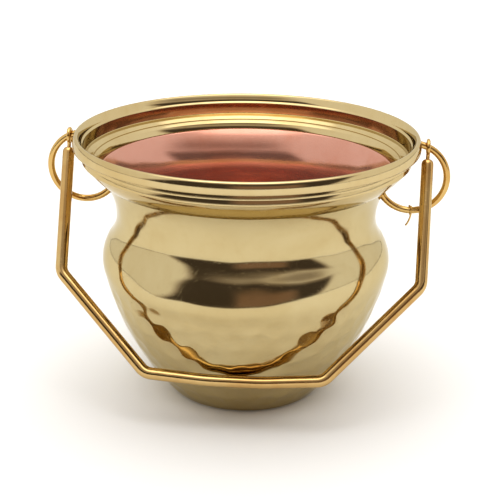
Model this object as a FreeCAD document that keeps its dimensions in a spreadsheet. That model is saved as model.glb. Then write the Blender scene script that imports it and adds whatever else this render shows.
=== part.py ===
import FreeCAD, Part
import math
import os
import Sketcher

# Brass kalash pot: a spun brass body lined with copper, a heavy cast rim, two
# wire ears and a swinging bail handle of bent round rod.
# Millimetres. Origin at the middle of the foot's underside, +Z up, the hinge
# axis of the bail along X, and the bail at rest on the -Y side.

# alias, number, what it measures
DIMENSIONS = [
    ("total_height", 140.5, "foot to the crest of the rim"),
    ("brass_wall", 1.1, "thickness of the spun brass body"),
    ("copper_wall", 0.7, "thickness of the copper lining"),
    ("neck_radius", 68.3, "narrowest outside radius of the neck"),
    ("neck_height", 97.5, "height of the narrowest place"),
    ("neck_upper_arc", 36.0, "flare of the neck up to the rim"),
    ("belly_radius", 76.2, "widest outside radius of the belly"),
    ("belly_height", 73.5, "height of the widest place"),
    ("belly_arc", 22.0, "roundness of the belly"),
    ("taper_arc", 150.0, "curve of the side from belly to foot"),
    ("foot_radius", 37.5, "radius of the flat underside"),
    ("foot_round", 5.0, "rounding at the edge of the foot"),
    ("body_top", 122.7, "height at which body and lining end inside the rim"),
    ("lip_radius", 90.0, "outside radius of the rim"),
    ("lip_drop", 5.6, "crest to the lower edge of the upright lip wall"),
    ("lip_chamfer", 0.8, "chamfer under the lip"),
    ("crest_round", 1.3, "rounding of the crest"),
    ("bevel_angle", 58.0, "slope of the inward bevel, in degrees"),
    ("bevel_drop", 4.2, "crest to the lower edge of the bevel"),
    ("cove_arc", 40.0, "hollow of the inside wall of the rim"),
    ("cove_radius", 84.3, "inside radius at the foot of the cove"),
    ("cove_drop", 10.7, "crest to the foot of the cove"),
    ("shelf_radius", 76.1, "inside radius of the sloping shelf"),
    ("shelf_edge", 0.8, "height of the brass edge over the copper"),
    ("cup_top_radius", 86.4, "radius of the upright wall under the lip"),
    ("cup_shoulder", 131.0, "height at which the cup turns in from that wall"),
    ("cup_low_radius", 75.6, "radius of the lower edge of the cup"),
    ("cup_low_height", 118.3, "height of the lower edge of the cup"),
    ("cup_arc", 45.0, "roundness of the cup below the shoulder"),
    ("ear_wire", 1.8, "radius of the ear wire"),
    ("ear_arc", 17.9, "radius of the ear along its middle line"),
    ("ear_middle_radius", 85.8, "centre of the ear from the pot's axis"),
    ("ear_middle_height", 119.5, "height of the centre of the ear"),
    ("ear_up_angle", 84.0, "ear above its outermost point, in degrees"),
    ("ear_down_angle", 157.0, "ear below its outermost point, in degrees"),
    ("hinge_half_span", 93.3, "middle of each hook eye from the pot's axis"),
    ("rest_angle", 31.3, "bail resting on the belly, from plumb, in degrees"),
    ("rod_radius", 3.1, "radius of the bail rod"),
    ("rod_start", 6.6, "hinge axis to the top of the rod"),
    ("rod_end_round", 1.4, "rounding of the rod's ends"),
    ("elbow_half_span", 91.7, "upper elbow from the middle plane"),
    ("elbow_reach", 72.6, "hinge axis to the upper elbow"),
    ("bar_half_span", 44.8, "lower elbow from the middle plane"),
    ("bar_reach", 122.4, "hinge axis to the lower elbow"),
    ("bar_bow", 2.3, "bow of the bottom bar away from the hinge"),
    ("bow_half_span", 14.0, "bend of the bow from the middle plane"),
    ("bow_radius", 150.0, "bend of the bow along its middle line"),
    ("bend_radius", 8.0, "bend of the rod along its middle line"),
    ("hook_wire", 1.0, "radius of the hook wire"),
    ("eye_arc", 3.45, "radius of the hook eye along its middle line"),
    ("shank_root", 0.3, "start of the hook shank past the middle line of the eye"),
    ("shank_depth", 6.0, "hook shank inside the rod"),
    ("binding_wire", 0.5, "radius of the binding wire"),
    ("binding_slack", 0.02, "gap between the binding wire and the ear"),
    ("tail_arc", 13.0, "curve of the loose tail of the binding wire"),
    ("tail_angle", 36.0, "sweep of the tail, in degrees"),
]


class Size:
    """A dimension as a number and as the expression that gives it."""

    def __init__(self, value, text):
        self.value = value
        self.text = text

    def __add__(self, other):
        return Size(self.value + other.value, "(%s + %s)" % (self.text, other.text))

    def __sub__(self, other):
        return Size(self.value - other.value, "(%s - %s)" % (self.text, other.text))

    def __mul__(self, other):
        return Size(self.value * other.value, "(%s * %s)" % (self.text, other.text))

    def __truediv__(self, other):
        return Size(self.value / other.value, "(%s / %s)" % (self.text, other.text))


def number(value):
    return Size(value, repr(value))


def root(size):
    return Size(math.sqrt(size.value), "sqrt(%s)" % size.text)


def sine(angle):
    return Size(math.sin(math.radians(angle.value)), "sin(%s * 1 deg)" % angle.text)


def cosine(angle):
    return Size(math.cos(math.radians(angle.value)), "cos(%s * 1 deg)" % angle.text)


def make_sheet(doc):
    sheet = doc.addObject("Spreadsheet::Sheet", "Dims")
    for row, (alias, value, meaning) in enumerate(DIMENSIONS, start=1):
        sheet.set("A%d" % row, alias)
        sheet.set("B%d" % row, str(value))
        sheet.set("C%d" % row, meaning)
        sheet.setAlias("B%d" % row, alias)
    doc.recompute()
    return {alias: Size(float(getattr(sheet, alias)), "Dims." + alias)
            for alias, _, _ in DIMENSIONS}


# --- sketches ---------------------------------------------------------------

def new_body(doc, label):
    body = doc.addObject("PartDesign::Body", label)
    body.Label = label
    return body


def origin_plane(body, role):
    return [item for item in body.Origin.OriginFeatures if item.Role == role][0]


def new_sketch(body, name, role):
    sketch = body.newObject("Sketcher::SketchObject", name)
    sketch.AttachmentSupport = [(origin_plane(body, role), "")]
    sketch.MapMode = "FlatFace"
    return sketch


def hold(sketch, kind, *where):
    return sketch.addConstraint(Sketcher.Constraint(kind, *where))


def drive(sketch, size, kind, *where):
    index = hold(sketch, kind, *where, size.value)
    sketch.setExpression("Constraints[%d]" % index, size.text)


ORIGIN = (-1, 1)
UPRIGHT_AXIS = -2
CENTRE = 3


def pin(sketch, geometry, point, across, up):
    """Fix one point of a sketch by its two distances from the origin."""
    drive(sketch, across, "DistanceX", *ORIGIN, geometry, point)
    drive(sketch, up, "DistanceY", *ORIGIN, geometry, point)


def plain(point):
    """A pair of sizes as a pair of numbers."""
    return (point[0].value, point[1].value)


def add_line(sketch, start, end):
    """Add a line; return (geometry, point at its start, point at its end)."""
    index = sketch.addGeometry(Part.LineSegment(
        FreeCAD.Vector(*start, 0), FreeCAD.Vector(*end, 0)), False)
    return index, 1, 2


def add_arc(sketch, start, end, radius, side):
    """Add the short arc from start to end, bulging to the left of the way for
    side LEFT and to the right for side RIGHT; return as add_line does."""
    chord = math.dist(start, end)
    rise = side * (radius - math.sqrt(radius ** 2 - chord ** 2 / 4))
    crown = ((start[0] + end[0]) / 2 - (end[1] - start[1]) / chord * rise,
             (start[1] + end[1]) / 2 + (end[0] - start[0]) / chord * rise)
    ways = [FreeCAD.Vector(*place, 0) for place in (start, crown, end)]
    index = sketch.addGeometry(Part.Arc(*ways), False)
    first = sketch.getPoint(index, 1)
    if math.dist((first.x, first.y), start) < math.dist((first.x, first.y), end):
        return index, 1, 2
    return index, 2, 1


LEFT = 1
RIGHT = -1


def closed_outline(sketch, corners):
    """Corners are (across, up) for a straight edge to the next corner, or
    (across, up, radius, side) for an arc to it."""
    edges = []
    for index, corner in enumerate(corners):
        start = plain(corner)
        end = plain(corners[(index + 1) % len(corners)])
        if len(corner) == 2:
            edges.append(add_line(sketch, start, end))
        else:
            edges.append(add_arc(sketch, start, end, corner[2].value, corner[3]))
    for index, (edge, corner) in enumerate(zip(edges, corners)):
        following = edges[(index + 1) % len(edges)]
        hold(sketch, "Coincident", edge[0], edge[2], following[0], following[1])
        pin(sketch, edge[0], edge[1], corner[0], corner[1])
        if len(corner) > 2:
            drive(sketch, corner[2], "Radius", edge[0])


def revolved(body, sketch):
    feature = body.newObject("PartDesign::Revolution", body.Label + "_revolution")
    feature.Profile = sketch
    feature.ReferenceAxis = (sketch, ["V_Axis"])
    feature.Angle = 360
    return feature


# --- the vessel -------------------------------------------------------------

def towards(centre, target, radius):
    """The point at a radius from a centre, in the direction of a target."""
    reach = math.dist(centre, target)
    return (centre[0] + (target[0] - centre[0]) * radius / reach,
            centre[1] + (target[1] - centre[1]) * radius / reach)


def centre_left_of(low, low_gap, high, high_gap):
    """The point at two given distances from two points, left of the way up."""
    span = math.dist(low, high)
    along = (low_gap ** 2 - high_gap ** 2 + span ** 2) / (2 * span)
    aside = math.sqrt(low_gap ** 2 - along ** 2)
    way = ((high[0] - low[0]) / span, (high[1] - low[1]) / span)
    return (low[0] + way[0] * along - way[1] * aside,
            low[1] + way[1] * along + way[0] * aside)


def vessel_form(doc, size, label, inset):
    """The vessel as a solid, all its surfaces set in by one amount. Its outline
    is a chain of tangent arcs about centres that every inset shares: flare,
    neck, belly, side and the rounding of the foot."""
    body = new_body(doc, label)
    sketch = new_sketch(body, label + "_outline", "XZ_Plane")
    flare_centre = (size["neck_radius"] + size["neck_upper_arc"], size["neck_height"])
    belly_centre = (size["belly_radius"] - size["belly_arc"], size["belly_height"])
    foot_centre = (size["foot_radius"], size["foot_round"])
    flare_radius = size["neck_upper_arc"] + inset
    belly_radius = size["belly_arc"] - inset
    side_radius = size["taper_arc"] - inset
    foot_radius = size["foot_round"] - inset

    rise = size["body_top"].value - flare_centre[1].value
    mouth = (flare_centre[0].value - math.sqrt(flare_radius.value ** 2 - rise ** 2),
             size["body_top"].value)
    neck = (size["neck_radius"].value - inset.value, size["neck_height"].value)
    swell = size["belly_radius"].value - size["neck_radius"].value
    fall = size["neck_height"].value - size["belly_height"].value
    centre_gap = (swell ** 2 + fall ** 2) / (2 * swell)
    neck_radius = centre_gap - belly_radius.value
    neck_centre = (neck[0] + neck_radius, neck[1])
    turn = towards(neck_centre, plain(belly_centre), neck_radius)
    side_centre = centre_left_of(
        plain(foot_centre), side_radius.value - foot_radius.value,
        plain(belly_centre), side_radius.value - belly_radius.value)
    side_top = towards(side_centre, plain(belly_centre), side_radius.value)
    side_foot = towards(side_centre, plain(foot_centre), side_radius.value)
    underside = (foot_centre[0].value, inset.value)
    middle = (0.0, inset.value)
    top_middle = (0.0, mouth[1])

    flare = add_arc(sketch, mouth, neck, flare_radius.value, RIGHT)
    hollow = add_arc(sketch, neck, turn, neck_radius, RIGHT)
    belly = add_arc(sketch, turn, side_top, belly_radius.value, LEFT)
    side = add_arc(sketch, side_top, side_foot, side_radius.value, LEFT)
    foot = add_arc(sketch, side_foot, underside, foot_radius.value, LEFT)
    flat = add_line(sketch, underside, middle)
    axis = add_line(sketch, middle, top_middle)
    lid = add_line(sketch, top_middle, mouth)

    edges = [flare, hollow, belly, side, foot, flat, axis, lid]
    smooth = (hollow, belly, side)
    for edge, following in zip(edges, edges[1:] + edges[:1]):
        kind = "Tangent" if edge in smooth else "Coincident"
        hold(sketch, kind, edge[0], edge[2], following[0], following[1])
    pin(sketch, flare[0], CENTRE, *flare_centre)
    pin(sketch, belly[0], CENTRE, *belly_centre)
    pin(sketch, foot[0], CENTRE, *foot_centre)
    drive(sketch, flare_radius, "Radius", flare[0])
    drive(sketch, belly_radius, "Radius", belly[0])
    drive(sketch, side_radius, "Radius", side[0])
    drive(sketch, foot_radius, "Radius", foot[0])
    drive(sketch, size["body_top"], "DistanceY", *ORIGIN, flare[0], flare[1])
    drive(sketch, size["neck_height"], "DistanceY", *ORIGIN, flare[0], flare[2])
    drive(sketch, size["neck_height"], "DistanceY", *ORIGIN, hollow[0], CENTRE)
    drive(sketch, size["foot_radius"], "DistanceX", *ORIGIN, foot[0], foot[2])
    hold(sketch, "Horizontal", flat[0])
    hold(sketch, "Horizontal", lid[0])
    hold(sketch, "PointOnObject", axis[0], axis[1], UPRIGHT_AXIS)
    hold(sketch, "PointOnObject", axis[0], axis[2], UPRIGHT_AXIS)
    revolved(body, sketch)
    return body


def difference(doc, label, base, tool):
    cut = doc.addObject("Part::Cut", label)
    cut.Label = label
    cut.Base = base
    cut.Tool = tool
    return cut


# --- the rim ----------------------------------------------------------------

def rim_collar(doc, size):
    """Cast ring: upright lip with a rounded crest, a bevel, cove and shelf on the
    inside, and a cup below the lip that closes round the flare of the body."""
    body = new_body(doc, "rim_collar")
    sketch = new_sketch(body, "rim_outline", "XZ_Plane")
    crest = size["total_height"]

    def flare_across(height):
        arc = size["neck_upper_arc"]
        rise = height - size["neck_height"]
        return size["neck_radius"] + arc - root(arc * arc - rise * rise)

    crest_centre = (size["lip_radius"] - size["crest_round"], crest - size["crest_round"])
    bevel_sine = sine(size["bevel_angle"])
    bevel_cosine = cosine(size["bevel_angle"])
    bevel_top = (crest_centre[0] - size["crest_round"] * bevel_sine,
                 crest_centre[1] + size["crest_round"] * bevel_cosine)
    bevel_low_height = crest - size["bevel_drop"]
    bevel_low = (bevel_top[0] - (bevel_top[1] - bevel_low_height) * bevel_cosine / bevel_sine,
                 bevel_low_height)
    underside = crest - size["lip_drop"] - size["lip_chamfer"]
    closed_outline(sketch, [
        (size["lip_radius"], crest_centre[1]),
        (size["lip_radius"], crest - size["lip_drop"]),
        (size["lip_radius"] - size["lip_chamfer"], underside),
        (size["cup_top_radius"], underside),
        (size["cup_top_radius"], size["cup_shoulder"], size["cup_arc"], LEFT),
        (size["cup_low_radius"], size["cup_low_height"]),
        (flare_across(size["cup_low_height"]), size["cup_low_height"],
         size["neck_upper_arc"], LEFT),
        (flare_across(size["body_top"]), size["body_top"]),
        (size["shelf_radius"], size["body_top"]),
        (size["shelf_radius"], size["body_top"] + size["shelf_edge"]),
        (size["cove_radius"], crest - size["cove_drop"], size["cove_arc"], RIGHT),
        bevel_low,
        (*bevel_top, size["crest_round"], LEFT),
    ])
    revolved(body, sketch)
    return body


# --- the ears and the wire on one of them -----------------------------------

def ring(body, name, middle_radius, wire_radius):
    torus = body.newObject("PartDesign::AdditiveTorus", name)
    torus.setExpression("Radius1", middle_radius.text)
    torus.setExpression("Radius2", wire_radius.text)
    return torus


def place(item, across, up, rotation):
    """Set a placement in the middle plane, driven by two sizes."""
    item.Placement = FreeCAD.Placement(FreeCAD.Vector(across.value, 0, up.value), rotation)
    item.setExpression("Placement.Base.x", across.text)
    item.setExpression("Placement.Base.z", up.text)


X_AXIS = FreeCAD.Vector(1, 0, 0)
Y_AXIS = FreeCAD.Vector(0, 1, 0)
Z_AXIS = FreeCAD.Vector(0, 0, 1)


def ear(doc, size, label, side, collar, form):
    """Part of a wire ring in the XZ plane, from the lip round to the neck,
    trimmed where it meets the rim and the body."""
    body = new_body(doc, label + "_wire")
    wire = ring(body, label + "_ring", size["ear_arc"], size["ear_wire"])
    wire.Placement.Rotation = FreeCAD.Rotation(-Z_AXIS, size["ear_down_angle"].value)
    wire.setExpression("Placement.Rotation.Angle", size["ear_down_angle"].text)
    wire.setExpression("Angle3", (size["ear_up_angle"] + size["ear_down_angle"]).text)
    upright = FreeCAD.Rotation(X_AXIS, 90)
    facing = FreeCAD.Rotation(Z_AXIS, 0 if side > 0 else 180)
    place(body, number(side) * size["ear_middle_radius"], size["ear_middle_height"],
          facing * upright)
    return difference(doc, label, difference(doc, label + "_at_rim", body, collar), form)


def binding_wire(doc, size):
    """One tight turn of thin wire at the lowest point of the right ear, with
    its loose tail hanging down and curving in."""
    body = new_body(doc, "binding_wire")
    turn_radius = size["ear_wire"] + size["binding_wire"] + size["binding_slack"]
    turn = ring(body, "binding_turn", turn_radius, size["binding_wire"])
    turn.Placement.Rotation = FreeCAD.Rotation(Y_AXIS, 90)
    tail = ring(body, "binding_tail", size["tail_arc"], size["binding_wire"])
    tail.setExpression("Angle3", size["tail_angle"].text)
    tail.Placement = FreeCAD.Placement(
        FreeCAD.Vector(-size["tail_arc"].value, -turn_radius.value, 0),
        FreeCAD.Rotation(X_AXIS, -90))
    tail.setExpression("Placement.Base.x", "-" + size["tail_arc"].text)
    tail.setExpression("Placement.Base.y", "-" + turn_radius.text)
    place(body, size["ear_middle_radius"], size["ear_middle_height"] - size["ear_arc"],
          FreeCAD.Rotation())
    return body


# --- the bail ---------------------------------------------------------------
# Its pieces are drawn in a frame of their own: origin at the middle of the
# hinge axis, X along that axis and Z from it towards the bottom bar.

def hinge_height(size):
    """Where the middle line of the ear wire crosses the plane of the eye."""
    out = size["hinge_half_span"] - size["ear_middle_radius"]
    return size["ear_middle_height"] + root(size["ear_arc"] * size["ear_arc"] - out * out)


def hang(body, size):
    turned = number(180.0) - size["rest_angle"]
    place(body, number(0.0), hinge_height(size), FreeCAD.Rotation(X_AXIS, turned.value))
    body.setExpression("Placement.Rotation.Angle", turned.text)


def on_leg(size, reach):
    """The point of the right leg's middle line at a distance below the hinge."""
    lean = (size["hinge_half_span"] - size["elbow_half_span"]) / size["elbow_reach"]
    return size["hinge_half_span"] - lean * reach, reach


def leg_placement(size, side, reach):
    """Origin on a leg's middle line, Z down the leg."""
    start = plain(on_leg(size, reach))
    elbow = (size["elbow_half_span"].value, size["elbow_reach"].value)
    way = FreeCAD.Vector(side * (elbow[0] - start[0]), 0, elbow[1] - start[1])
    return FreeCAD.Placement(FreeCAD.Vector(side * start[0], 0, start[1]),
                             FreeCAD.Rotation(Z_AXIS, way))


def bent_path(sketch, start_point, corners, end_point):
    """Straight runs with a tangent arc at each corner, (across, up, radius)."""
    places = [plain(point) for point in (start_point, *corners, end_point)]
    runs = []
    start = places[0]
    for before, corner, after, (_, _, bend) in zip(places, places[1:], places[2:], corners):
        inward = math.atan2(corner[1] - before[1], corner[0] - before[0])
        outward = math.atan2(after[1] - corner[1], after[0] - corner[0])
        trim = bend.value * math.tan(abs(outward - inward) / 2)
        arc_start = towards(corner, before, trim)
        arc_end = towards(corner, after, trim)
        side = RIGHT if outward > inward else LEFT
        runs.append(add_line(sketch, start, arc_start))
        runs.append(add_arc(sketch, arc_start, arc_end, bend.value, side))
        start = arc_end
    runs.append(add_line(sketch, start, places[-1]))
    for run, following in zip(runs, runs[1:]):
        hold(sketch, "Tangent", run[0], run[2], following[0], following[1])
    for index, (across, up, bend) in enumerate(corners):
        before, arc, after = runs[2 * index:2 * index + 3]
        mark = sketch.addGeometry(
            Part.Point(FreeCAD.Vector(across.value, up.value, 0)), True)
        hold(sketch, "PointOnObject", mark, 1, before[0])
        hold(sketch, "PointOnObject", mark, 1, after[0])
        pin(sketch, mark, 1, across, up)
        drive(sketch, bend, "Radius", arc[0])
    pin(sketch, runs[0][0], runs[0][1], *start_point)
    pin(sketch, runs[-1][0], runs[-1][2], *end_point)


def bail_rod(doc, size):
    """Half of the rod is swept from the middle of the bottom bar to a leg's top
    and mirrored; the tops are rounded and drilled for the hook shanks."""
    body = new_body(doc, "bail_rod")
    path = new_sketch(body, "rod_path", "XZ_Plane")
    middle = (number(0.0), size["bar_reach"] + size["bar_bow"])
    bent_path(path, middle, [
        (size["bow_half_span"], middle[1], size["bow_radius"]),
        (size["bar_half_span"], size["bar_reach"], size["bend_radius"]),
        (size["elbow_half_span"], size["elbow_reach"], size["bend_radius"]),
    ], on_leg(size, size["rod_start"]))
    section = new_sketch(body, "rod_section", "YZ_Plane")
    disc = section.addGeometry(Part.Circle(
        FreeCAD.Vector(*plain(middle), 0), Z_AXIS, size["rod_radius"].value), False)
    pin(section, disc, CENTRE, *middle)
    drive(section, size["rod_radius"], "Radius", disc)
    half = body.newObject("PartDesign::AdditivePipe", "rod_half")
    half.Profile = section
    half.Spine = (path, [])
    doc.recompute()
    whole = body.newObject("PartDesign::Mirrored", "rod_whole")
    whole.Originals = [half]
    whole.MirrorPlane = (origin_plane(body, "YZ_Plane"), [""])
    body.Tip = whole
    doc.recompute()
    ends = []
    for index, edge in enumerate(whole.Shape.Edges, start=1):
        near_hinge = edge.BoundBox.ZMax < size["rod_start"].value + size["rod_radius"].value
        if near_hinge:
            ends.append("Edge%d" % index)
    rounded = body.newObject("PartDesign::Fillet", "rod_ends")
    rounded.Base = (whole, ends)
    rounded.setExpression("Radius", size["rod_end_round"].text)
    for side, name in ((-1, "left_socket"), (1, "right_socket")):
        socket = body.newObject("PartDesign::SubtractiveCylinder", name)
        socket.setExpression("Radius", size["hook_wire"].text)
        socket.setExpression("Height", size["shank_depth"].text)
        socket.Placement = leg_placement(size, side, size["rod_start"])
    hang(body, size)
    return body


def bail_hook(doc, size, label, side):
    """A closed eye round the ear wire, with a shank down into the rod."""
    body = new_body(doc, label)
    eye = ring(body, label + "_eye", size["eye_arc"], size["hook_wire"])
    eye.Placement.Rotation = FreeCAD.Rotation(Y_AXIS, 90)
    eye.setExpression("Placement.Base.x", (number(side) * size["hinge_half_span"]).text)
    shank = body.newObject("PartDesign::AdditiveCylinder", label + "_shank")
    root_reach = size["eye_arc"] + size["shank_root"]
    length = size["rod_start"] + size["shank_depth"] - root_reach
    shank.setExpression("Radius", size["hook_wire"].text)
    shank.setExpression("Height", length.text)
    shank.Placement = leg_placement(size, side, root_reach)
    hang(body, size)
    return body


# --- the whole pot ----------------------------------------------------------

def check_document(doc):
    doc.recompute()
    for item in doc.Objects:
        if "Invalid" in item.State or "Error" in item.State:
            raise RuntimeError("%s did not compute: %s" % (item.Label, item.State))


def check_and_export(piece):
    shape = piece.Shape
    if shape.isNull() or not shape.isValid() or len(shape.Solids) != 1:
        raise RuntimeError("%s is not one valid solid" % piece.Label)
    shape.exportStep("parts/%s.step" % piece.Label)
    box = shape.BoundBox
    print("%-18s %10.1f mm3  x %.2f..%.2f  y %.2f..%.2f  z %.2f..%.2f" % (
        piece.Label, shape.Volume, box.XMin, box.XMax, box.YMin, box.YMax,
        box.ZMin, box.ZMax))


def main():
    doc = FreeCAD.newDocument("kalash_pot")
    size = make_sheet(doc)
    outer_form = vessel_form(doc, size, "outer_form", number(0.0))
    middle_form = vessel_form(doc, size, "middle_form", size["brass_wall"])
    inner_form = vessel_form(doc, size, "inner_form",
                             size["brass_wall"] + size["copper_wall"])
    collar = rim_collar(doc, size)
    pieces = [
        difference(doc, "body_shell", outer_form, middle_form),
        difference(doc, "copper_lining", middle_form, inner_form),
        collar,
        ear(doc, size, "left_ear", -1, collar, outer_form),
        ear(doc, size, "right_ear", 1, collar, outer_form),
        binding_wire(doc, size),
        bail_rod(doc, size),
        bail_hook(doc, size, "left_bail_hook", -1),
        bail_hook(doc, size, "right_bail_hook", 1),
    ]
    check_document(doc)
    os.makedirs("parts", exist_ok=True)
    for piece in pieces:
        check_and_export(piece)
    print("hinge axis at z %.3f" % hinge_height(size).value)


main()
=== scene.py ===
"""Visual model of the brass kalash pot: a hand-hammered brass vessel lined with
copper, with a turned rim, two wire ears and a swinging bail of bent rod.
Outlines are worked out in millimetres and turned to metres as meshes are made."""
import math
import random

import bpy
import numpy as np
from mathutils import Matrix, Vector


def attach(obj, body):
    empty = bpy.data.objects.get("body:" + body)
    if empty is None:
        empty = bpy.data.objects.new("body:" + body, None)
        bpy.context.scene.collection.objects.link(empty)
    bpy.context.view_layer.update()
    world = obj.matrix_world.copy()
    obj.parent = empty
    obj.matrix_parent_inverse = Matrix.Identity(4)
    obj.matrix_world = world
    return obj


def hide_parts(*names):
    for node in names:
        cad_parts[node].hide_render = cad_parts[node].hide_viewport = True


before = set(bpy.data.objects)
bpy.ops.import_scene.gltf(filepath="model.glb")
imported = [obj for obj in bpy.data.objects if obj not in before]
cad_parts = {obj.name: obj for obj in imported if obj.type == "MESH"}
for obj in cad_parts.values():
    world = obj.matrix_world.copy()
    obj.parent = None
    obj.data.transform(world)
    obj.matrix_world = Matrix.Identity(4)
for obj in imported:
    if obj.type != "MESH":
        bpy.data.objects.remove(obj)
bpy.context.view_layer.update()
MM = 0.001

# --- sizes shared with the CAD, in millimetres --------------------------------

CREST = 140.5
BODY_TOP = 122.7
NECK_RADIUS, NECK_HEIGHT, FLARE_ARC = 68.3, 97.5, 36.0
BELLY_RADIUS, BELLY_HEIGHT, BELLY_ARC = 76.2, 73.5, 22.0
SIDE_ARC = 150.0
FOOT_RADIUS, FOOT_ROUND = 37.5, 5.0
BRASS_WALL, COPPER_WALL = 1.1, 0.7
LIP_RADIUS, CREST_ROUND = 90.0, 1.3
BEVEL_ANGLE = 58.0
COVE_RADIUS, COVE_DROP, COVE_ARC = 84.3, 10.7, 40.0
SHELF_RADIUS = 76.1
LIP_DROP, LIP_CHAMFER = 5.6, 0.8
CUP_LOW_RADIUS, CUP_LOW_HEIGHT, CUP_ARC = 75.6, 118.3, 45.0
EAR_WIRE, EAR_ARC, EAR_ACROSS, EAR_HEIGHT = 1.8, 17.9, 85.8, 119.5
EAR_UP = 84.0
HINGE_ACROSS = 93.3
HINGE_HEIGHT = EAR_HEIGHT + math.sqrt(EAR_ARC ** 2 - (HINGE_ACROSS - EAR_ACROSS) ** 2)
REST_ANGLE = 31.3
ROD_RADIUS, ROD_START, BEND = 3.1, 6.6, 8.0
ELBOW_ACROSS, ELBOW_REACH = 91.7, 72.6
BAR_ACROSS, BAR_REACH = 44.8, 122.4
BAR_BOW, BOW_ACROSS, BOW_BEND = 2.3, 14.0, 150.0
HOOK_WIRE, EYE_ARC = 1.0, 3.45
BINDING_WIRE, TAIL_ARC, TAIL_ANGLE = 0.5, 13.0, 36.0

# --- outlines ------------------------------------------------------------------


def arc_about(centre, radius, start, end, spacing):
    """Points from angle start to angle end, in radians, about a centre."""
    count = max(2, math.ceil(abs(end - start) * radius / spacing))
    return [(centre[0] + radius * math.cos(start + (end - start) * i / count),
             centre[1] + radius * math.sin(start + (end - start) * i / count))
            for i in range(count + 1)]


def arc_between(start, end, radius, bulge, spacing):
    """The short arc from start to end; bulge is 1 to the left of the way, -1 to
    the right."""
    chord = math.dist(start, end)
    way = ((end[0] - start[0]) / chord, (end[1] - start[1]) / chord)
    back = bulge * math.sqrt(radius ** 2 - chord ** 2 / 4)
    centre = ((start[0] + end[0]) / 2 + way[1] * back, (start[1] + end[1]) / 2 - way[0] * back)
    first = math.atan2(start[1] - centre[1], start[0] - centre[0])
    last = math.atan2(end[1] - centre[1], end[0] - centre[0])
    last = first + math.remainder(last - first, math.tau)
    return arc_about(centre, radius, first, last, spacing)


def straight(start, end, spacing):
    count = max(1, math.ceil(math.dist(start, end) / spacing))
    return [(start[0] + (end[0] - start[0]) * i / count,
             start[1] + (end[1] - start[1]) * i / count) for i in range(count + 1)]


def chain(*runs):
    """One outline out of runs that follow each other, without doubled points."""
    points = []
    for run in runs:
        for point in run:
            if not points or math.dist(point, points[-1]) > 1e-6:
                points.append(point)
    return points


def side_centre():
    """Centre of the long arc of the side, tangent to the foot's and belly's."""
    low, high = (FOOT_RADIUS, FOOT_ROUND), (BELLY_RADIUS - BELLY_ARC, BELLY_HEIGHT)
    low_gap, high_gap = SIDE_ARC - FOOT_ROUND, SIDE_ARC - BELLY_ARC
    span = math.dist(low, high)
    along = (low_gap ** 2 - high_gap ** 2 + span ** 2) / (2 * span)
    aside = math.sqrt(low_gap ** 2 - along ** 2)
    way = ((high[0] - low[0]) / span, (high[1] - low[1]) / span)
    return low[0] + way[0] * along - way[1] * aside, low[1] + way[1] * along + way[0] * aside


def vessel_outline(inset, spacing):
    """From the middle of the foot up the wall to its top edge, set in by inset."""
    belly = (BELLY_RADIUS - BELLY_ARC, BELLY_HEIGHT)
    foot = (FOOT_RADIUS, FOOT_ROUND)
    side = side_centre()
    swell, fall = BELLY_RADIUS - NECK_RADIUS, NECK_HEIGHT - BELLY_HEIGHT
    hollow_radius = (swell ** 2 + fall ** 2) / (2 * swell) - (BELLY_ARC - inset)
    hollow = (NECK_RADIUS - inset + hollow_radius, NECK_HEIGHT)
    flare = (NECK_RADIUS + FLARE_ARC, NECK_HEIGHT)
    at_foot = math.atan2(foot[1] - side[1], foot[0] - side[0])
    at_belly = math.atan2(belly[1] - side[1], belly[0] - side[0])
    at_turn = math.atan2(hollow[1] - belly[1], hollow[0] - belly[0])
    at_top = math.pi - math.asin((BODY_TOP - NECK_HEIGHT) / (FLARE_ARC + inset))
    return chain(
        straight((0.0, inset), (FOOT_RADIUS, inset), 3 * spacing),
        arc_about(foot, FOOT_ROUND - inset, -math.pi / 2, at_foot, spacing / 2),
        arc_about(side, SIDE_ARC - inset, at_foot, at_belly, spacing),
        arc_about(belly, BELLY_ARC - inset, at_belly, at_turn, spacing),
        arc_about(hollow, hollow_radius, at_turn + math.pi, math.pi, spacing),
        arc_about(flare, FLARE_ARC + inset, math.pi, at_top, spacing),
    )


# --- meshes --------------------------------------------------------------------

BODY_SEGMENTS, LINING_SEGMENTS, RIM_SEGMENTS = 560, 360, 420



def make_object(name, points, faces, smooth=True):
    mesh = bpy.data.meshes.new(name)
    mesh.from_pydata([tuple(p) for p in np.asarray(points) * MM], [], faces)
    mesh.validate()
    if smooth:
        mesh.shade_smooth()
    obj = bpy.data.objects.new(name, mesh)
    bpy.context.scene.collection.objects.link(obj)
    return obj


def turned_grid(outline, segments):
    """Vertices of an outline turned about Z, as an array (points, segments, 3)."""
    angles = np.arange(segments) * math.tau / segments
    outline = np.asarray(outline)
    across, up = outline[:, 0, None], outline[:, 1, None]
    return np.stack([across * np.sin(angles), -across * np.cos(angles),
                     up + 0 * angles], axis=-1)


def turned_faces(rows, segments, closed):
    faces = []
    for row in range(rows if closed else rows - 1):
        low, high = row * segments, (row + 1) % rows * segments
        for at in range(segments):
            after = (at + 1) % segments
            faces.append((low + at, low + after, high + after, high + at))
    return faces


def turned(name, outline, segments, closed, shape=None):
    """A lathe-turned piece; shape may move the grid of its vertices."""
    grid = turned_grid(outline, segments)
    if shape:
        grid = shape(grid)
    return make_object(name, grid.reshape(-1, 3), turned_faces(len(outline), segments, closed))


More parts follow.
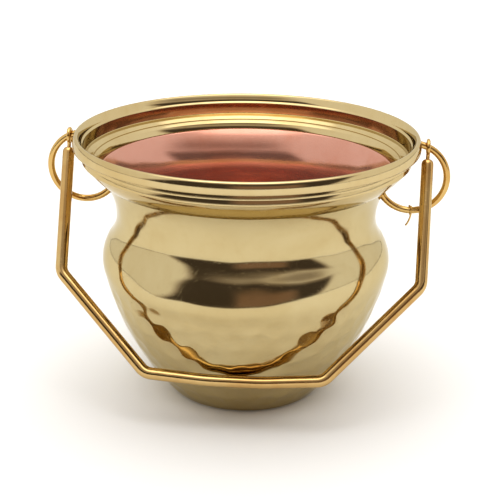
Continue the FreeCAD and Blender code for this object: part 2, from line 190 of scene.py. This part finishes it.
def cup(name, first, second, first_floor, second_floor):
    """A walled cup from the grids of its two faces, its foot closed at both heights."""
    whole = np.concatenate([first, second])
    rows, segments = whole.shape[:2]
    faces = turned_faces(rows, segments, False)
    points = list(whole.reshape(-1, 3))
    under, floor = len(points), len(points) + 1
    points += [(0, 0, first_floor), (0, 0, second_floor)]
    last = (rows - 1) * segments
    for at in range(segments):
        after = (at + 1) % segments
        faces.append((under, after, at))
        faces.append((floor, last + at, last + after))
    return make_object(name, points, faces)


def tube(name, path, radii, sides):
    """A round bar along a path, a radius for each of its points, ends closed."""
    path = [Vector(p) for p in path]
    points, faces = [], []
    way = (path[1] - path[0]).normalized()
    aside = way.orthogonal().normalized()
    for index, (place, radius) in enumerate(zip(path, radii)):
        before = path[max(index - 1, 0)]
        after = path[min(index + 1, len(path) - 1)]
        way = (after - before).normalized()
        aside = (aside - way * aside.dot(way)).normalized()
        across = way.cross(aside)
        for side in range(sides):
            turn = math.tau * side / sides
            points.append(place + (aside * math.cos(turn) + across * math.sin(turn)) * radius)
    for index in range(len(path) - 1):
        for side in range(sides):
            after = (side + 1) % sides
            faces.append((index * sides + side, index * sides + after,
                          (index + 1) * sides + after, (index + 1) * sides + side))
    faces.append(tuple(reversed(range(sides))))
    faces.append(tuple(range((len(path) - 1) * sides, len(path) * sides)))
    return make_object(name, points, faces)


def along(path, distance):
    """Resample a path at even steps."""
    path = np.asarray([tuple(p) for p in path])
    reach = np.concatenate([[0], np.cumsum(np.linalg.norm(np.diff(path, axis=0), axis=1))])
    steps = np.linspace(0, reach[-1], max(2, math.ceil(reach[-1] / distance)) + 1)
    return np.stack([np.interp(steps, reach, path[:, k]) for k in range(3)], axis=1), steps


# --- the hammered body ----------------------------------------------------------

DENT_SPACING = 12.6
DENT_CURVE = 46.0
DENT_DEPTH = 0.30
DENT_TOP, DENT_FADE = 62.0, 10.0
DENT_REACH, DENT_BLEND = 9.0, 0.05
SWELL_LENGTH, SWELL = 17.0, 0.05


def dent_centres(outline):
    """Jittered rows of hammer marks: (distance along the outline, angle, depth)."""
    chance = random.Random(41)
    outline = np.asarray(outline)
    reach = np.concatenate([[0], np.cumsum(np.hypot(*np.diff(outline, axis=0).T))])
    marks = []
    low = np.interp(9.0, outline[:, 1], reach)
    high = np.interp(DENT_TOP, outline[:, 1], reach)
    rows = round((high - low) / (DENT_SPACING * 0.86))
    for row in range(rows + 1):
        place = low + (high - low) * row / rows
        radius = np.interp(place, reach, outline[:, 0])
        count = round(math.tau * radius / DENT_SPACING)
        start = chance.uniform(0, math.tau)
        for at in range(count):
            marks.append((place + chance.gauss(0, 1.1),
                          start + (at + chance.gauss(0, 0.09)) * math.tau / count,
                          chance.uniform(0.72, 1.2) * DENT_DEPTH))
    return reach, marks


def soft_least(first, second, blend):
    """The smaller of two heights with the crease between them rounded."""
    near = np.clip(0.5 + 0.5 * (second - first) / blend, 0, 1)
    return second * (1 - near) + first * near - blend * near * (1 - near)


def waves(grid, chance, count, length, height):
    """Low swells of the sheet: random plane waves of about one length."""
    total = np.zeros(grid.shape[:2])
    for _ in range(count):
        way = np.array([chance.gauss(0, 1) for _ in range(3)])
        way *= math.tau / (length * chance.uniform(0.75, 1.5)) / np.linalg.norm(way)
        total += np.sin(grid @ way + chance.uniform(0, math.tau))
    return total * height / math.sqrt(count)


# The belly was beaten a little lower in front than the plain outline has it, most of
# all left of the middle. Angles are in degrees from the front, heights in millimetres.
SAG, SAG_HEIGHT, SAG_REACH, SAG_HALF_TURN = 4.0, 76.0, 15.0, 72.0
SAG_LEFT, SAG_RIGHT = (-35.0, 2.5), (38.0, -3.5)
FOOT_CLEAR = 20.0


def sagged(grid, outline):
    """Lower the widest part of the front, fading out above, below and sideways. Both
    faces of the brass and of the copper take it, so that the walls keep their thickness."""
    outline = np.asarray(outline)
    angles = np.degrees(np.remainder(np.arange(grid.shape[1]) * math.tau / grid.shape[1]
                                     + math.pi, math.tau) - math.pi)
    drop = np.full(len(angles), SAG)
    for middle, extra in (SAG_LEFT, SAG_RIGHT):
        drop += extra * np.exp(-((angles - middle) / 16.0) ** 2)
    drop *= np.cos(np.clip(angles / SAG_HALF_TURN, -1, 1) * math.pi / 2) ** 2
    up = outline[:, 1]
    share = np.cos(np.clip((up - SAG_HEIGHT) / SAG_REACH, -1, 1) * math.pi / 2) ** 2
    high = up > FOOT_CLEAR
    for column, amount in enumerate(drop):
        moved = np.interp(up + amount * share, up[high], outline[high, 0])
        across = np.where(high, moved, outline[:, 0])
        turn = math.tau * column / len(angles)
        grid[:, column, 0] = across * math.sin(turn)
        grid[:, column, 1] = -across * math.cos(turn)
    return grid


def hammered(outline):
    reach, marks = dent_centres(outline)

    def shape(grid):
        rows, segments = grid.shape[:2]
        angles = np.arange(segments) * math.tau / segments
        radius = np.asarray(outline)[:, 0]
        height = np.zeros((rows, segments))
        for place, angle, depth in marks:
            near = np.flatnonzero(abs(reach - place) < DENT_REACH)
            turn = np.remainder(angles - angle + math.pi, math.tau) - math.pi
            for row in near:
                if radius[row] < 20 or outline[row][1] < 0.5:
                    continue
                aside = turn * radius[row]
                at = np.flatnonzero(abs(aside) < DENT_REACH)
                gap = (reach[row] - place) ** 2 + aside[at] ** 2
                dent = gap / (2 * DENT_CURVE) - depth
                height[row, at] = soft_least(height[row, at], dent, DENT_BLEND)
        up = np.asarray(outline)[:, 1]
        fade = np.clip((DENT_TOP + DENT_FADE - up) / DENT_FADE, 0, 1)
        fade *= np.clip((up - 0.6) / 3, 0, 1)
        height *= fade[:, None]
        chance = random.Random(7)
        swell = waves(grid, chance, 24, SWELL_LENGTH, SWELL)
        calm = np.clip((up - 3) / 8, 0, 1) * np.clip((BODY_TOP - 6 - up) / 6, 0, 1)
        height += (swell - SWELL) * calm[:, None]
        slope = np.gradient(np.asarray(outline), axis=0)
        slope /= np.linalg.norm(slope, axis=1)[:, None]
        out = np.stack([slope[:, 1], -slope[:, 0]], axis=1)
        grid = sagged(grid.copy(), outline)
        grid[..., 0] += height * out[:, 0, None] * np.sin(angles)
        grid[..., 1] -= height * out[:, 0, None] * np.cos(angles)
        grid[..., 2] += height * out[:, 1, None]
        return grid
    return shape


def make_body():
    outer = vessel_outline(0.0, 0.7)[1:]
    inner = vessel_outline(BRASS_WALL, 4.0)[1:]
    grid = hammered(outer)(turned_grid(outer, BODY_SEGMENTS))
    lining = sagged(turned_grid(inner, BODY_SEGMENTS), inner)[::-1]
    return cup("hammered_body", grid, lining, 0, BRASS_WALL)


LINING_SWELL_LENGTH, LINING_SWELL = 22.0, 0.05


def make_lining():
    outer = vessel_outline(BRASS_WALL, 4.0)[1:]
    inner = vessel_outline(BRASS_WALL + COPPER_WALL, 0.9)[1:]
    grid = sagged(turned_grid(inner, LINING_SEGMENTS), inner)[::-1].copy()
    chance = random.Random(19)
    up = grid[..., 2]
    calm = np.clip((up - 4) / 10, 0, 1) * np.clip((BODY_TOP - 4 - up) / 6, 0, 1)
    swell = waves(grid, chance, 20, LINING_SWELL_LENGTH, LINING_SWELL) * calm
    reach = np.hypot(grid[..., 0], grid[..., 1]) + 1e-9
    inward = 1 - (swell + LINING_SWELL * calm) / reach
    grid[..., 0] *= inward
    grid[..., 1] *= inward
    skin = sagged(turned_grid(outer, LINING_SEGMENTS), outer)
    return cup("copper_skin", skin, grid, BRASS_WALL, BRASS_WALL + COPPER_WALL)


# --- the turned rim ---------------------------------------------------------------


def flare_across(height):
    return NECK_RADIUS + FLARE_ARC - math.sqrt(FLARE_ARC ** 2 - (height - NECK_HEIGHT) ** 2)


# The turned rim is softer than its plain CAD outline: the lip bulges, the bevel and
# the shelf swell, and the wall below the lip is turned in two low ribs.
LIP_BULGE, LIP_LEAN, LIP_UNDER_ROUND = 9.4, 22.0, 2.0
BEVEL_FOOT, BEVEL_SWELL = (85.5, 136.6), 10.0
COVE_TOP = (84.5, 135.8)
RIBS = ((85.8, 133.9), (84.8, 130.8))
RIB_TALL, RIB_OUT, RIB_SWELL = 2.85, 0.6, 14.0
BAND_LOW = (84.9, 127.6)
SHELF_ROLL, SHELF_RIDGE, SHELF_SWELL = (77.3, 125.9), (80.3, 127.5), 6.0


def ribbed(fine):
    """The wall below the lip: each rib faces a little upwards, then cuts back in."""
    points = []
    for across, up in RIBS:
        points += arc_between((across, up), (across + RIB_OUT, up - RIB_TALL), RIB_SWELL, 1, fine)
    return points + [BAND_LOW]


def make_rim():
    """Lip, bevel, cove, shelf and cup in one turned ring, its edges eased."""
    lean = math.radians(LIP_LEAN)
    lip_centre = (LIP_RADIUS - LIP_BULGE, CREST - CREST_ROUND
                  - (LIP_BULGE - CREST_ROUND) * math.sin(lean))
    crest_centre = (lip_centre[0] + (LIP_BULGE - CREST_ROUND) * math.cos(lean),
                    CREST - CREST_ROUND)
    bevel = math.radians(BEVEL_ANGLE)
    bevel_top = (crest_centre[0] - CREST_ROUND * math.sin(bevel),
                 crest_centre[1] + CREST_ROUND * math.cos(bevel))
    under = CREST - LIP_DROP - LIP_CHAMFER
    lip_wall = arc_about(lip_centre, LIP_BULGE, lean, math.radians(-4), 0.2)
    lip_low = (LIP_RADIUS - 0.6, under + 0.1)
    shelf_top = (COVE_RADIUS, CREST - COVE_DROP - 0.1)
    fine = 0.35
    outline = chain(
        # down the outside, from the crest
        arc_about(crest_centre, CREST_ROUND, math.pi / 2, lean, 0.12),
        lip_wall,
        arc_between(lip_wall[-1], lip_low, LIP_UNDER_ROUND, 1, 0.1),
        straight(lip_low, (RIBS[0][0] + 0.3, under), fine),
        ribbed(0.12),
        arc_between(BAND_LOW, (CUP_LOW_RADIUS, CUP_LOW_HEIGHT), CUP_ARC, 1, fine),
        straight((CUP_LOW_RADIUS, CUP_LOW_HEIGHT),
                 (flare_across(CUP_LOW_HEIGHT), CUP_LOW_HEIGHT), fine),
        # up behind the flare and out to the shelf
        arc_between((flare_across(CUP_LOW_HEIGHT), CUP_LOW_HEIGHT),
                    (flare_across(BODY_TOP), BODY_TOP), FLARE_ARC, -1, 1.0),
        straight((flare_across(BODY_TOP), BODY_TOP), (SHELF_RADIUS, BODY_TOP), 0.6),
        arc_between((SHELF_RADIUS, BODY_TOP + 0.2), SHELF_ROLL, 14.0, 1, 0.2),
        arc_between(SHELF_ROLL, SHELF_RIDGE, SHELF_SWELL, 1, 0.2),
        arc_between(SHELF_RIDGE, shelf_top, SHELF_SWELL + 3.0, 1, 0.2),
        arc_between(shelf_top, COVE_TOP, COVE_ARC, -1, fine),
        straight(COVE_TOP, BEVEL_FOOT, fine),
        arc_between(BEVEL_FOOT, bevel_top, BEVEL_SWELL, 1, 0.25),
        arc_about(crest_centre, CREST_ROUND, math.pi / 2 + bevel, math.pi / 2, 0.12),
    )
    return turned("turned_rim", list(reversed(outline[:-1])), RIM_SEGMENTS, True)


# --- ears and binding wire ----------------------------------------------------------


# The ear meets the neck at this angle below its outermost point, thickened by braze.
# From there its end narrows, so that it stops inside the wall and not in the lining.
EAR_MEETS_NECK, EAR_TIP_ANGLE, EAR_TIP = 148.2, 152.5, 0.3
BRAZE, BRAZE_REACH = 0.35, 2.0


def make_ear(name, side):
    """Wire from the lip round to the neck, thicker where the braze wets it."""
    count = 180
    path, radii = [], []
    sweep = EAR_UP + EAR_TIP_ANGLE
    for at in range(count + 1):
        angle = EAR_UP - sweep * at / count
        turn = math.radians(angle)
        path.append((side * (EAR_ACROSS + EAR_ARC * math.cos(turn)), 0.0,
                     EAR_HEIGHT + EAR_ARC * math.sin(turn)))
        past = -angle - EAR_MEETS_NECK
        away = math.radians(min(EAR_UP - angle, abs(past))) * EAR_ARC
        radius = EAR_WIRE - 0.02 + BRAZE * math.exp(-(away / BRAZE_REACH) ** 2)
        if past > 0:
            radius += (EAR_TIP - radius) * past / (EAR_TIP_ANGLE - EAR_MEETS_NECK)
        radii.append(radius)
    return tube(name, path, radii, 40)


def make_binding():
    """One turn of thin wire round the foot of the right ear and its loose end."""
    low = EAR_HEIGHT - EAR_ARC
    turn = EAR_WIRE + BINDING_WIRE + 0.02
    path = []
    for at in range(61):
        angle = math.tau * at / 60 * 0.97
        path.append((EAR_ACROSS + 0.9 * (at / 60 - 0.5), turn * math.sin(angle),
                     low + turn * math.cos(angle)))
    for at in range(1, 31):
        angle = math.radians(TAIL_ANGLE) * at / 30
        path.append((EAR_ACROSS + 0.45 - TAIL_ARC * (1 - math.cos(angle)),
                     -turn, low - TAIL_ARC * math.sin(angle)))
    path, steps = along(path, 0.35)
    return tube("binding_turn", path, [BINDING_WIRE - 0.02] * len(path), 16)


# --- the bail ------------------------------------------------------------------------

HINGE = Vector((0, 0, HINGE_HEIGHT))
HANG = Matrix.Rotation(math.radians(180 - REST_ANGLE), 4, "X")


def hung(point):
    """A point of the bail's own frame, (across, aside, reach), in the pot's."""
    return HINGE + HANG @ Vector(point)


def bent(corners, spacing):
    """Straight runs through (across, reach, bend) corners, in the bail's frame."""
    points = [Vector((corners[0][0], corners[0][1]))]
    for before, corner, after in zip(corners, corners[1:], corners[2:]):
        place = Vector(corner[:2])
        back = (Vector(before[:2]) - place)
        on = (Vector(after[:2]) - place)
        half = back.angle(on) / 2
        trim = corner[2] / math.tan(half)
        start, end = place + back.normalized() * trim, place + on.normalized() * trim
        centre = place + (back.normalized() + on.normalized()).normalized() \
            * corner[2] / math.sin(half)
        first = math.atan2(*(start - centre).yx)
        last = first + math.remainder(math.atan2(*(end - centre).yx) - first, math.tau)
        points += [Vector(p) for p in arc_about(centre, corner[2], first, last, spacing)]
    points.append(Vector(corners[-1][:2]))
    return points


def on_leg(reach):
    lean = (HINGE_ACROSS - ELBOW_ACROSS) / ELBOW_REACH
    return HINGE_ACROSS - lean * reach


# The rod's ends are filed to a shoulder that narrows towards the hook.
SHOULDER, SHOULDER_TIP = 2.6, 1.3


def make_rod():
    right = [(BOW_ACROSS, BAR_REACH + BAR_BOW, BOW_BEND), (BAR_ACROSS, BAR_REACH, BEND),
             (ELBOW_ACROSS, ELBOW_REACH, BEND)]
    top = (on_leg(ROD_START), ROD_START, 0)
    left = [(-across, reach, bend) for across, reach, bend in reversed(right)]
    corners = [(-top[0], top[1], 0)] + left + right + [top]
    path, steps = along([(p.x, 0, p.y) for p in bent(corners, 0.5)], 0.9)
    radii = np.full(len(path), ROD_RADIUS)
    ends = []
    for turn in np.linspace(0, math.pi / 2, 13):
        ends.append((SHOULDER * (1 - math.cos(turn)),
                     SHOULDER_TIP + (ROD_RADIUS - SHOULDER_TIP) * math.sin(turn)))
    # ends: distance from the tip and the radius there
    tip = sorted(ends)
    full = steps[-1]
    keep = (steps > SHOULDER + 0.2) & (steps < full - SHOULDER - 0.2)
    reaches = [d for d, _ in tip] + list(steps[keep]) + [full - d for d, _ in reversed(tip)]
    sizes = [r for _, r in tip] + list(radii[keep]) + [r for _, r in reversed(tip)]
    placed = [[np.interp(at, steps, path[:, k]) for k in range(3)] for at in reaches]
    return tube("bail_bar", [hung(p) for p in placed], sizes, 48)


def make_hook(name, side):
    """Bent wire: out of the rod's top, round the ear wire, tip back at the shank."""
    path = []
    for at in range(12):
        reach = ROD_START + 2.0 - (ROD_START + 2.0 - EYE_ARC - 1.2) * at / 11
        path.append((side * on_leg(reach), 0.0, reach))
    for at in range(81):
        angle = math.radians(80) - math.radians(318) * at / 80
        path.append((side * HINGE_ACROSS, EYE_ARC * math.cos(angle), EYE_ARC * math.sin(angle)))
    path, steps = along(path, 0.22)
    radii = []
    for at in steps:
        left = steps[-1] - at
        radii.append((HOOK_WIRE - 0.02) * (1 if left > 0.8 else
                                           0.35 + 0.65 * math.sqrt(1 - (1 - left / 0.8) ** 2)))
    return tube(name, [hung(p) for p in path], radii, 24)


# --- materials -----------------------------------------------------------------------


class Nodes:
    """A node tree with short calls for the nodes used here."""

    def __init__(self, tree):
        self.tree = tree

    def add(self, kind, inputs=(), **settings):
        node = self.tree.nodes.new(kind)
        for key, value in settings.items():
            setattr(node, key, value)
        for key, value in dict(inputs).items():
            self.join(value, node.inputs[key])
        return node

    def join(self, value, socket):
        if isinstance(value, bpy.types.NodeSocket):
            self.tree.links.new(value, socket)
        else:
            socket.default_value = value

    def math(self, operation, *values, clamp=False):
        node = self.add("ShaderNodeMath", operation=operation, use_clamp=clamp)
        for value, socket in zip(values, node.inputs):
            self.join(value, socket)
        return node.outputs[0]

    def ramp(self, value, low, high, start=0.0, end=1.0, kind="SMOOTHSTEP"):
        node = self.add("ShaderNodeMapRange", interpolation_type=kind, inputs={
            "Value": value, "From Min": low, "From Max": high,
            "To Min": start, "To Max": end})
        return node.outputs["Result"]

    def noise(self, place, scale, detail=3.0, rough=0.5, distortion=0.0):
        node = self.add("ShaderNodeTexNoise", inputs={
            "Vector": place, "Scale": scale, "Detail": detail, "Roughness": rough,
            "Distortion": distortion})
        return node.outputs["Fac"]

    def mix(self, factor, first, second, blend="MIX"):
        node = self.add("ShaderNodeMix", data_type="RGBA", blend_type=blend)
        self.join(factor, node.inputs["Factor"])
        self.join(first, node.inputs["A"])
        self.join(second, node.inputs["B"])
        return node.outputs["Result"]

    def stretched(self, place, scale):
        node = self.add("ShaderNodeVectorMath", operation="MULTIPLY",
                        inputs={0: place, 1: scale})
        return node.outputs[0]


def linear(red, green, blue):
    """An 8-bit colour as linear RGBA."""
    def one(value):
        value /= 255
        return value / 12.92 if value <= 0.04045 else ((value + 0.055) / 1.055) ** 2.4
    return one(red), one(green), one(blue), 1.0


EDGE_TINT = (0.80, 0.78, 0.70, 1.0)


def polished(name, bright, dull, rough, spread, lathe, scratch, metallic=1.0):
    """Polished metal: patchy tone and gloss, faint turning lines and scratches."""
    material = bpy.data.materials.new(name)
    material.use_nodes = True
    nodes = Nodes(material.node_tree)
    shader = material.node_tree.nodes["Principled BSDF"]
    place = nodes.add("ShaderNodeTexCoord").outputs["Object"]
    patches = nodes.noise(place, 22.0, 4.0, 0.55, 0.6)
    specks = nodes.noise(place, 160.0, 3.0, 0.6)
    tone = nodes.ramp(patches, 0.34, 0.68)
    tone = nodes.math("ADD", nodes.math("MULTIPLY", tone, 0.75),
                      nodes.math("MULTIPLY", nodes.ramp(specks, 0.45, 0.75), 0.25))
    colour = nodes.mix(tone, bright, dull)
    smears = nodes.noise(nodes.stretched(place, (1.0, 1.0, 3.5)), 45.0, 5.0, 0.6, 1.2)
    gloss = nodes.ramp(smears, 0.35, 0.75, rough - spread, rough + spread)
    lines = nodes.noise(nodes.stretched(place, (1.5, 1.5, 420.0)), 8.0, 2.0, 0.6)
    hairs = nodes.noise(nodes.stretched(place, (30.0, 420.0, 60.0)), 6.0, 3.0, 0.7, 0.4)
    hairs = nodes.ramp(hairs, 0.62, 0.70)
    height = nodes.math("ADD", nodes.math("MULTIPLY", lines, lathe),
                        nodes.math("MULTIPLY", hairs, -scratch))
    bump = nodes.add("ShaderNodeBump", inputs={
        "Height": height, "Strength": 1.0, "Distance": 0.001})
    nodes.join(colour, shader.inputs["Base Color"])
    nodes.join(nodes.math("ADD", gloss, nodes.math("MULTIPLY", hairs, 0.06)),
               shader.inputs["Roughness"])
    nodes.join(bump.outputs["Normal"], shader.inputs["Normal"])
    shader.inputs["Metallic"].default_value = metallic
    shader.inputs["Specular Tint"].default_value = EDGE_TINT
    return material


# --- the studio ------------------------------------------------------------------------


# Angles are in degrees: round from the front, and up from the horizon.
TENT_LOW, TENT_HIGH = 1.08, 1.35
LAMP_FROM, LAMP_FULL, LAMP_SIDE, LAMP_ADDS = 55.0, 61.0, 65, 1.8
OPENING_LEFT, OPENING_RIGHT, OPENING_TOP, OPENING_LEAN = -62, 60, 29, 0.9
OPENING_SHADE, GLOW_LIGHT, DIM_SHADE = 0.92, 0.20, 0.68
BELOW_HORIZON = 0.5


def make_world():
    """A pale light tent with a lamp overhead and an open front that is dark, a dim
    zone above the opening and a warm glow inside it."""
    world = bpy.data.worlds.new("tent")
    bpy.context.scene.world = world
    world.use_nodes = True
    nodes = Nodes(world.node_tree)
    background = world.node_tree.nodes["Background"]
    way = nodes.add("ShaderNodeTexCoord").outputs["Generated"]
    split = nodes.add("ShaderNodeSeparateXYZ", inputs={0: way}).outputs
    raised = nodes.math("DEGREES", nodes.math("ARCSINE", split["Z"]))
    turned_by = nodes.math("DEGREES", nodes.math(
        "ARCTAN2", split["X"], nodes.math("MULTIPLY", split["Y"], -1.0)))

    def times(first, second):
        return nodes.math("MULTIPLY", first, second)

    def window(value, low, high, soft):
        rise = nodes.ramp(value, low - soft, low + soft)
        fall = nodes.ramp(value, high - soft, high + soft, 1.0, 0.0)
        return times(rise, fall)

    level = nodes.ramp(raised, 35.0, 75.0, TENT_LOW, TENT_HIGH)
    lamp = times(nodes.ramp(raised, LAMP_FROM, LAMP_FULL), nodes.math(
        "MAXIMUM", window(turned_by, -LAMP_SIDE, LAMP_SIDE, 12),
        nodes.ramp(raised, 72.0, 80.0, 0.5, 1.0)))
    level = nodes.math("ADD", level, times(lamp, LAMP_ADDS))
    skewed = nodes.math("SUBTRACT", turned_by, times(raised, OPENING_LEAN))
    opening = times(window(skewed, OPENING_LEFT, OPENING_RIGHT, 6),
                    window(raised, 0.0, OPENING_TOP, 1.0))
    opening = times(opening, nodes.ramp(raised, 22.0, 31.0, 1.0, 0.5))
    glow = times(window(turned_by, -4, 40, 6), window(raised, 2, 17, 3))
    dim = times(window(turned_by, -28, 80, 18), window(raised, 30, 46, 11))
    shade = nodes.math("SUBTRACT", times(opening, OPENING_SHADE), times(glow, GLOW_LIGHT))
    shade = nodes.math("MAXIMUM", shade, times(dim, DIM_SHADE))
    level = times(level, nodes.math("SUBTRACT", 1.0, shade))
    level = times(level, nodes.ramp(raised, -0.6, -0.1, BELOW_HORIZON, 1.0))
    warm = nodes.mix(glow, (0.85, 0.66, 0.55, 1.0), (1.0, 0.52, 0.34, 1.0))
    colour = nodes.mix(shade, (1.0, 0.985, 0.965, 1.0), warm)
    nodes.join(colour, background.inputs["Color"])
    nodes.join(level, background.inputs["Strength"])


FLOOR_RADIUS, FLOOR_SEGMENTS = 3200.0, 96


def make_floor():
    outline = straight((0.0, 0.0), (FLOOR_RADIUS, 0.0), 100.0)[1:]
    grid = turned_grid(outline, FLOOR_SEGMENTS)
    points = list(grid.reshape(-1, 3)) + [(0, 0, 0)]
    faces = turned_faces(len(outline), FLOOR_SEGMENTS, False)
    for at in range(FLOOR_SEGMENTS):
        faces.append((len(points) - 1, (at + 1) % FLOOR_SEGMENTS, at))
    floor = make_object("floor", points, faces)
    floor.location.z = -0.05 * MM
    material = bpy.data.materials.new("pale_floor")
    material.use_nodes = True
    nodes = Nodes(material.node_tree)
    shader = material.node_tree.nodes["Principled BSDF"]
    place = nodes.add("ShaderNodeTexCoord").outputs["Object"]
    tone = nodes.mix(nodes.noise(place, 2.5, 3.0), (0.90, 0.90, 0.895, 1), (0.92, 0.92, 0.915, 1))
    nodes.join(tone, shader.inputs["Base Color"])
    shader.inputs["Roughness"].default_value = 0.9
    shader.inputs["Specular IOR Level"].default_value = 0.1
    floor.data.materials.append(material)


# The camera: distances from the pot's axis and above the rim, its pitch, and the
# small turn of the pot towards it.
CAMERA_AWAY, CAMERA_RISE, CAMERA_PITCH = 651.153, 171.721, 19.958
POT_TURN, ROLL, LENS, SHIFT = 4.93, 0.638, 93.377, 0.00837


def make_camera():
    turn = math.radians(POT_TURN)
    data = bpy.data.cameras.new("camera")
    data.sensor_width = 36.0
    data.lens = LENS
    data.shift_x = SHIFT
    camera = bpy.data.objects.new("camera", data)
    bpy.context.scene.collection.objects.link(camera)
    place = Vector((CAMERA_AWAY * math.sin(turn), -CAMERA_AWAY * math.cos(turn),
                    CREST + CAMERA_RISE)) * MM
    facing = Matrix.Rotation(turn, 4, "Z") @ Matrix.Rotation(math.radians(90 - CAMERA_PITCH), 4, "X")
    tilt = Matrix.Rotation(math.radians(ROLL), 4, "Z")
    camera.matrix_world = Matrix.Translation(place) @ facing @ tilt
    bpy.context.scene.camera = camera


# --- put together --------------------------------------------------------------------------

body_metal = polished("hammered_brass", linear(197, 179, 133), linear(188, 167, 118),
                      0.10, 0.03, 0.004, 0.006)
rim_metal = polished("turned_brass", linear(203, 182, 134), linear(192, 166, 112),
                     0.075, 0.025, 0.006, 0.004)
wire_metal = polished("wire_brass", linear(214, 180, 112), linear(196, 152, 84),
                      0.14, 0.04, 0.002, 0.01)
rod_metal = polished("rod_brass", linear(206, 176, 118), linear(188, 146, 86),
                     0.10, 0.04, 0.002, 0.01)
copper = polished("copper_skin", linear(208, 152, 132), linear(200, 134, 110),
                  0.14, 0.04, 0.010, 0.006, metallic=0.74)

PIECES = [
    (make_body(), body_metal, "body_shell", "pot", "body_brass"),
    (make_lining(), copper, "copper_lining", "pot", "lining_copper"),
    (make_rim(), rim_metal, "rim_collar", "pot", "rim_brass"),
    (make_ear("ear_left", -1), wire_metal, "left_ear", "pot", "wire_brass"),
    (make_ear("ear_right", 1), wire_metal, "right_ear", "pot", "wire_brass"),
    (make_binding(), wire_metal, "binding_wire", "pot", "wire_brass"),
    (make_rod(), rod_metal, "bail_rod", "bail", "rod_brass"),
    (make_hook("hook_left", -1), wire_metal, "left_bail_hook", "bail", "wire_brass"),
    (make_hook("hook_right", 1), wire_metal, "right_bail_hook", "bail", "wire_brass"),
]
for piece, material, node, body, slot in PIECES:
    piece.data.materials.append(material)
    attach(piece, body)
    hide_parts(node)

make_floor()
make_world()
make_camera()
scene = bpy.context.scene
scene.view_settings.view_transform = "Standard"
scene.view_settings.look = "None"
